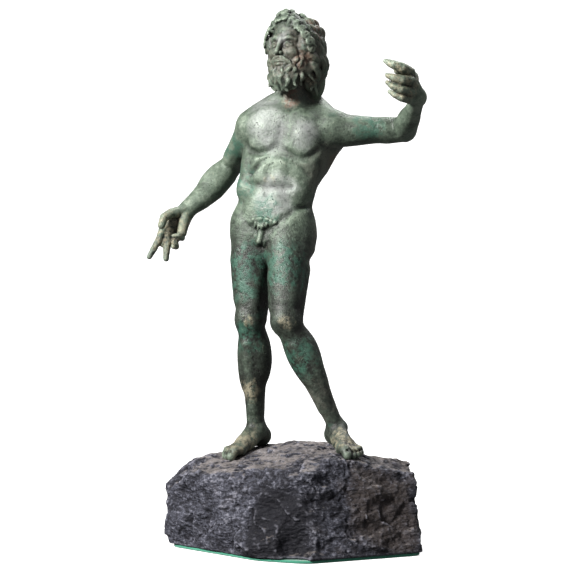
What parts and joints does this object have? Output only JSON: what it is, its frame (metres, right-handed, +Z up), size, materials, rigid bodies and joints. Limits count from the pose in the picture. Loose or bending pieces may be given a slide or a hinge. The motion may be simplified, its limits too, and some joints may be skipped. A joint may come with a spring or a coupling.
{
  "type": "standing god statuette on a stone base",
  "caption": "Patinated bronze statuette of a bearded nude god, one arm raised, on a rough dark stone base with thin green felt under it.",
  "frame": {"origin": "on the underside of the felt, under the middle of the stone base", "axes": "+Z up, -Y towards the side the chest faces, +X towards the raised arm"},
  "size_m": [0.124, 0.1029, 0.2407],
  "materials": {
    "bronze": "cast bronze with a dull grey-green patina, darker in the recesses and finely pitted",
    "stone": "broken dark volcanic stone, rough and matt, paler on the weathered top",
    "felt": "thin dark green felt"
  },
  "bodies": {
    "root": {"bronze_figure": "bronze", "stone_base": "stone", "felt_pad": "felt"}
  },
  "joints": []
}
